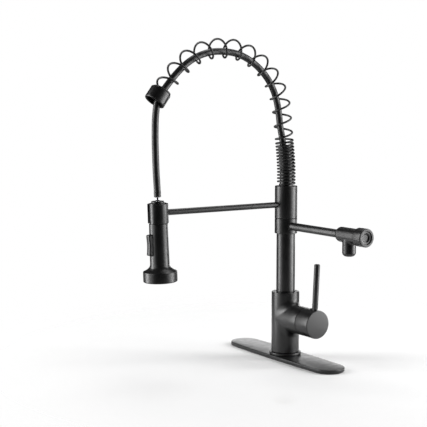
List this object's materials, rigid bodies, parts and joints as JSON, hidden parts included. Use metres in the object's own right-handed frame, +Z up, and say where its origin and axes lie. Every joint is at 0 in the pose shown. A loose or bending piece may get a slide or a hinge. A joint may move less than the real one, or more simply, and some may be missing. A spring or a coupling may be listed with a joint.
{
  "type": "spring-neck pull-down faucet",
  "caption": "Matte black spring-neck pull-down kitchen faucet with a docked spray head on an arm, a swinging pot filler, a side lever handle and a long deck plate.",
  "frame": {"origin": "on the column's axis, in the plane of the worktop on which the deck gasket lies", "axes": "+Z up along the column, -Y along the dock arm towards the sink, +X towards the lever handle and the pot filler"},
  "size_m": [0.3249, 0.285, 0.5744],
  "materials": {
    "matte_black": "matte powder coat",
    "black_hose": "smooth satin",
    "rubber": "matte",
    "brass": "machined",
    "stainless": "polished",
    "ceramic": "lapped ceramic",
    "black_plastic": "moulded",
    "white_plastic": "moulded"
  },
  "bodies": {
    "fixed_base": {"deck_plate": "matte_black", "deck_gasket": "rubber", "base_ring": "matte_black", "mounting_shank": "brass", "counter_washer": "rubber", "clamp_washer": "stainless", "mounting_nut": "brass", "cold_inlet": "brass", "hot_inlet": "brass", "mixer_body": "matte_black", "cartridge_bonnet": "matte_black", "cartridge_housing": "black_plastic", "ceramic_disc_fixed": "ceramic", "swivel_bush": "black_plastic", "column_seal": "rubber"},
    "handle_rotor": {"cartridge_rotor": "white_plastic", "cartridge_pin": "stainless"},
    "handle": {"cartridge_stem": "stainless", "handle_cap": "matte_black", "handle_lever": "matte_black", "handle_grub_screw": "matte_black"},
    "moving_disc": {"ceramic_disc_moving": "ceramic"},
    "spout": {"column_tube": "matte_black", "spring_liner": "black_plastic", "hose_tail_fitting": "brass", "arch_spring": "matte_black", "hose_arch": "black_hose"},
    "pot_filler": {"pot_filler_ring": "matte_black", "pot_ring_seal_lower": "rubber", "pot_ring_seal_upper": "rubber", "pot_filler_pipe": "matte_black", "pot_valve_body": "matte_black", "pot_aerator": "black_plastic"},
    "pot_knob": {"pot_valve_spindle": "brass", "pot_filler_knob": "matte_black"},
    "dock": {"dock_ring": "matte_black", "dock_arm": "matte_black", "dock_clip": "matte_black", "spring_collar": "matte_black", "hose_drop": "black_hose"},
    "hose_end": {"hose_ball_stud": "stainless", "hose_ferrule": "black_hose"},
    "sprayer": {"sprayer_shell": "matte_black", "sprayer_top_cap": "matte_black", "sprayer_inlet_insert": "black_plastic", "sprayer_check_valve": "white_plastic", "spray_diverter": "black_plastic", "spray_face": "rubber", "spray_aerator": "black_plastic"},
    "rocker": {"spray_rocker": "matte_black"}
  },
  "joints": [
    {"name": "handle_turn", "type": "hinge", "parent": "fixed_base", "child": "handle_rotor", "pos_m": [0.0632, 0, 0.0665], "axis": [1, 0, 0], "range_deg": [-45, 45]},
    {"name": "handle_tilt", "type": "hinge", "parent": "handle_rotor", "child": "handle", "pos_m": [0.0632, 0, 0.0665], "axis": [0, 1, 0], "range_deg": [0, 20]},
    {"name": "disc_shift", "type": "slide", "parent": "handle_rotor", "child": "moving_disc", "axis": [0, 0, 1], "range_m": [0, 0.0042]},
    {"name": "spout_swivel", "type": "hinge", "parent": "fixed_base", "child": "spout", "pos_m": [0, 0, 0.107], "axis": [0, 0, 1], "continuous": true},
    {"name": "pot_filler_swivel", "type": "hinge", "parent": "spout", "child": "pot_filler", "pos_m": [0, 0, 0.2123], "axis": [0, 0, 1], "continuous": true},
    {"name": "knob_turn", "type": "hinge", "parent": "pot_filler", "child": "pot_knob", "pos_m": [0.1736, 0, 0.2123], "axis": [1, 0, 0], "range_deg": [0, 90]},
    {"name": "dock_swing", "type": "hinge", "parent": "spout", "child": "dock", "pos_m": [0, 0, 0.246], "axis": [0, 0, 1], "range_deg": [-20, 20], "deforming": ["arch_spring", "hose_arch"]},
    {"name": "sprayer_pull", "type": "slide", "parent": "dock", "child": "hose_end", "axis": [0, 0.0349, -0.9994], "range_m": [0, 0.06], "stiffness_N_per_m": 60, "springref_m": -0.1, "deforming": ["hose_drop"]},
    {"name": "sprayer_spin", "type": "hinge", "parent": "hose_end", "child": "sprayer", "pos_m": [0, -0.2352, 0.246], "axis": [0, -0.0349, 0.9994], "continuous": true},
    {"name": "rocker_tip", "type": "hinge", "parent": "sprayer", "child": "rocker", "pos_m": [0, -0.24747, 0.19904], "axis": [1, 0, 0], "range_deg": [-5, 5]}
  ],
  "couplings": [
    {"joint": "disc_shift", "follows": "handle_tilt", "m_per_rad": 0.012}
  ]
}
